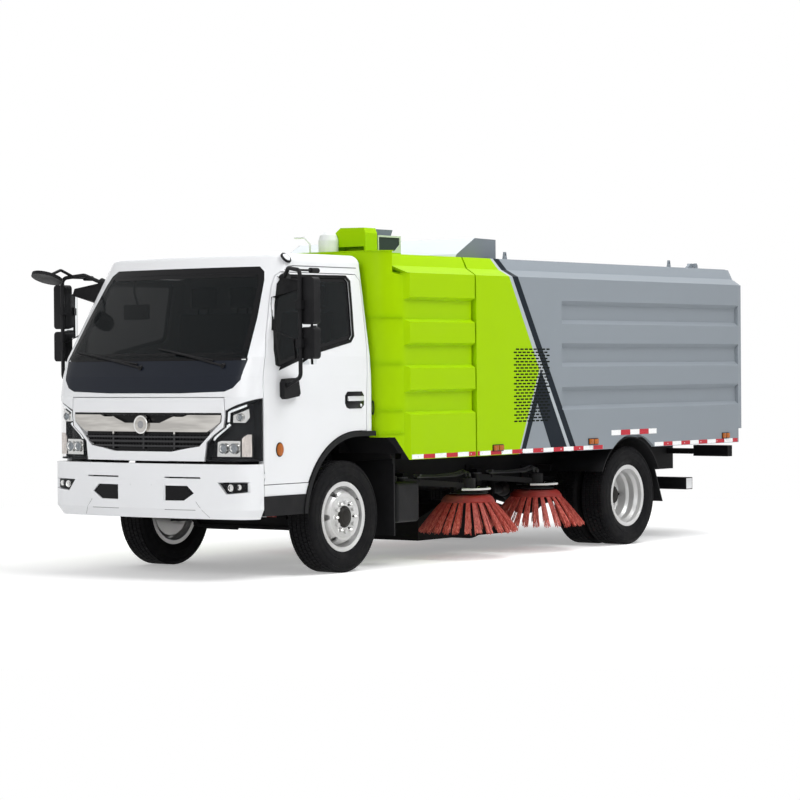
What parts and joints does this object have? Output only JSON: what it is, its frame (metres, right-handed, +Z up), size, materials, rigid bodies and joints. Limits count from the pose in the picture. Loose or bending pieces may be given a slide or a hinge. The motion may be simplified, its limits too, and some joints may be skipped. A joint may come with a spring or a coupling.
{
  "type": "street sweeper truck",
  "caption": "Forward-control road sweeper truck with a tilting cab, water tank, tipping hopper with tailgate, swinging disc brushes and a suction nozzle between the axles.",
  "frame": {"origin": "on the ground below the middle of the truck's outline", "axes": "+Z up; the truck faces -Y, so +X is its left side"},
  "size_m": [2.574, 6.9, 2.6159],
  "materials": {
    "white_paint": "gloss",
    "green_paint": "gloss",
    "grey_paint": "gloss",
    "slate_panel": "gloss",
    "black_plastic": "matte",
    "black_steel": "satin",
    "glass": "clear",
    "lens": "clear",
    "chrome": "polished",
    "wheel_silver": "satin",
    "tyre": "matte",
    "seat_fabric": "matte",
    "brush_bristle": "matte",
    "arm_red": "satin",
    "cylinder_steel": "satin",
    "cast_iron": "rough"
  },
  "bodies": {
    "chassis": {"frame_rails": "black_steel", "frame_crossmembers": "black_steel", "subframe": "black_steel", "engine_block": "cast_iron", "radiator": "black_plastic", "driveline": "cast_iron", "front_axle": "black_steel", "springs": "black_steel", "rear_axle": "black_steel", "tanks": "black_plastic", "mudflaps": "black_plastic", "underrun_and_tail_lamps": "black_steel", "water_tank": "green_paint", "brush_brackets": "black_steel", "suction_nozzle": "black_steel", "nozzle_mountings": "black_steel"},
    "cab": {"cab_shell": "white_paint", "windshield": "glass", "cowl_panel": "slate_panel", "wipers": "black_plastic", "lamp_lenses": "lens", "headlamp_housings": "black_plastic", "lid_panel": "white_paint", "grille": "chrome", "cab_flares": "black_plastic", "cab_interior": "black_plastic", "seats": "seat_fabric", "bumper": "white_paint", "cab_underframe": "black_steel"},
    "door_left": {"door_left": "white_paint", "door_glass_left": "glass", "mirror_left": "black_plastic"},
    "door_right": {"door_right": "white_paint", "door_glass_right": "glass", "mirror_right": "black_plastic"},
    "knuckle_left": {"knuckle_left": "cast_iron"},
    "knuckle_right": {"knuckle_right": "cast_iron"},
    "tie_rod": {"tie_rod": "black_steel"},
    "front_wheel_left": {"wheel_front_left": "wheel_silver", "tyre_front_left": "tyre"},
    "front_wheel_right": {"wheel_front_right": "wheel_silver", "tyre_front_right": "tyre"},
    "rear_wheels_left": {"wheels_rear_left": "wheel_silver", "tyres_rear_left": "tyre"},
    "rear_wheels_right": {"wheels_rear_right": "wheel_silver", "tyres_rear_right": "tyre"},
    "hopper": {"hopper_shell": "grey_paint", "roof_cowl": "grey_paint"},
    "tailgate": {"tailgate": "grey_paint"},
    "tip_barrels": {"tip_barrels": "black_steel"},
    "tip_rods": {"tip_rods": "cylinder_steel"},
    "brush_arm_front_left": {"brush_arm_front_left": "arm_red"},
    "brush_front_left": {"brush_front_left": "brush_bristle"},
    "brush_arm_front_right": {"brush_arm_front_right": "arm_red"},
    "brush_front_right": {"brush_front_right": "brush_bristle"},
    "brush_arm_rear_left": {"brush_arm_rear_left": "arm_red"},
    "brush_rear_left": {"brush_rear_left": "brush_bristle"},
    "brush_arm_rear_right": {"brush_arm_rear_right": "arm_red"},
    "brush_rear_right": {"brush_rear_right": "brush_bristle"}
  },
  "joints": [
    {"name": "cab_tilt", "type": "hinge", "parent": "chassis", "child": "cab", "pos_m": [0, -3.33, 0.62], "axis": [1, 0, 0], "range_deg": [0, 45]},
    {"name": "door_left_swing", "type": "hinge", "parent": "cab", "child": "door_left", "pos_m": [0.971, -3.208, 1.1], "axis": [0, 0, -1], "range_deg": [0, 65]},
    {"name": "door_right_swing", "type": "hinge", "parent": "cab", "child": "door_right", "pos_m": [-0.971, -3.208, 1.1], "axis": [0, 0, 1], "range_deg": [0, 65]},
    {"name": "steer_left", "type": "hinge", "parent": "chassis", "child": "knuckle_left", "pos_m": [0.68, -2.24, 0.42], "axis": [0, 0, 1], "range_deg": [-35, 35]},
    {"name": "steer_right", "type": "hinge", "parent": "chassis", "child": "knuckle_right", "pos_m": [-0.68, -2.24, 0.42], "axis": [0, 0, 1], "range_deg": [-35, 35]},
    {"name": "tie_rod_pivot", "type": "hinge", "parent": "knuckle_left", "child": "tie_rod", "pos_m": [0.68, -2.05, 0.318], "axis": [0, 0, 1], "range_deg": [-35, 35]},
    {"name": "front_left_spin", "type": "hinge", "parent": "knuckle_left", "child": "front_wheel_left", "pos_m": [0.84, -2.24, 0.42], "axis": [1, 0, 0], "continuous": true},
    {"name": "front_right_spin", "type": "hinge", "parent": "knuckle_right", "child": "front_wheel_right", "pos_m": [-0.84, -2.24, 0.42], "axis": [1, 0, 0], "continuous": true},
    {"name": "rear_left_spin", "type": "hinge", "parent": "chassis", "child": "rear_wheels_left", "pos_m": [0.825, 1.56, 0.42], "axis": [1, 0, 0], "continuous": true},
    {"name": "rear_right_spin", "type": "hinge", "parent": "chassis", "child": "rear_wheels_right", "pos_m": [-0.825, 1.56, 0.42], "axis": [1, 0, 0], "continuous": true},
    {"name": "hopper_tip", "type": "hinge", "parent": "chassis", "child": "hopper", "pos_m": [0, 3.3, 0.9], "axis": [-1, 0, 0], "range_deg": [0, 48]},
    {"name": "tailgate_swing", "type": "hinge", "parent": "hopper", "child": "tailgate", "pos_m": [0, 3.382, 2.445], "axis": [1, 0, 0], "range_deg": [0, 80]},
    {"name": "tip_barrels_pivot", "type": "hinge", "parent": "chassis", "child": "tip_barrels", "pos_m": [0, 2.06, 0.7], "axis": [-1, 0, 0], "range_deg": [0, 71.04]},
    {"name": "tip_rods_slide", "type": "slide", "parent": "tip_barrels", "child": "tip_rods", "axis": [0, -0.9856, 0.169], "range_m": [0, 0.848]},
    {"name": "arm_front_left_swing", "type": "hinge", "parent": "chassis", "child": "brush_arm_front_left", "pos_m": [0.5, -0.91, 0.625], "axis": [0, 0, -1], "range_deg": [0, 20]},
    {"name": "brush_front_left_spin", "type": "hinge", "parent": "brush_arm_front_left", "child": "brush_front_left", "pos_m": [0.82, -0.46, 0.48], "axis": [0, 0, 1], "continuous": true},
    {"name": "arm_front_right_swing", "type": "hinge", "parent": "chassis", "child": "brush_arm_front_right", "pos_m": [-0.5, -0.91, 0.625], "axis": [0, 0, 1], "range_deg": [0, 20]},
    {"name": "brush_front_right_spin", "type": "hinge", "parent": "brush_arm_front_right", "child": "brush_front_right", "pos_m": [-0.82, -0.46, 0.48], "axis": [0, 0, 1], "continuous": true},
    {"name": "arm_rear_left_swing", "type": "hinge", "parent": "chassis", "child": "brush_arm_rear_left", "pos_m": [0.5, 0.11, 0.625], "axis": [0, 0, -1], "range_deg": [0, 20]},
    {"name": "brush_rear_left_spin", "type": "hinge", "parent": "brush_arm_rear_left", "child": "brush_rear_left", "pos_m": [0.79, 0.56, 0.48], "axis": [0, 0, 1], "continuous": true},
    {"name": "arm_rear_right_swing", "type": "hinge", "parent": "chassis", "child": "brush_arm_rear_right", "pos_m": [-0.5, 0.11, 0.625], "axis": [0, 0, 1], "range_deg": [0, 20]},
    {"name": "brush_rear_right_spin", "type": "hinge", "parent": "brush_arm_rear_right", "child": "brush_rear_right", "pos_m": [-0.79, 0.56, 0.48], "axis": [0, 0, 1], "continuous": true}
  ],
  "couplings": [
    {"joint": "steer_right", "follows": "steer_left", "ratio": 1},
    {"joint": "tie_rod_pivot", "follows": "steer_left", "ratio": -1},
    {"joint": "tip_barrels_pivot", "follows": "hopper_tip", "ratio": 1.4799},
    {"joint": "tip_rods_slide", "follows": "hopper_tip", "m_per_rad": 1.0121}
  ]
}
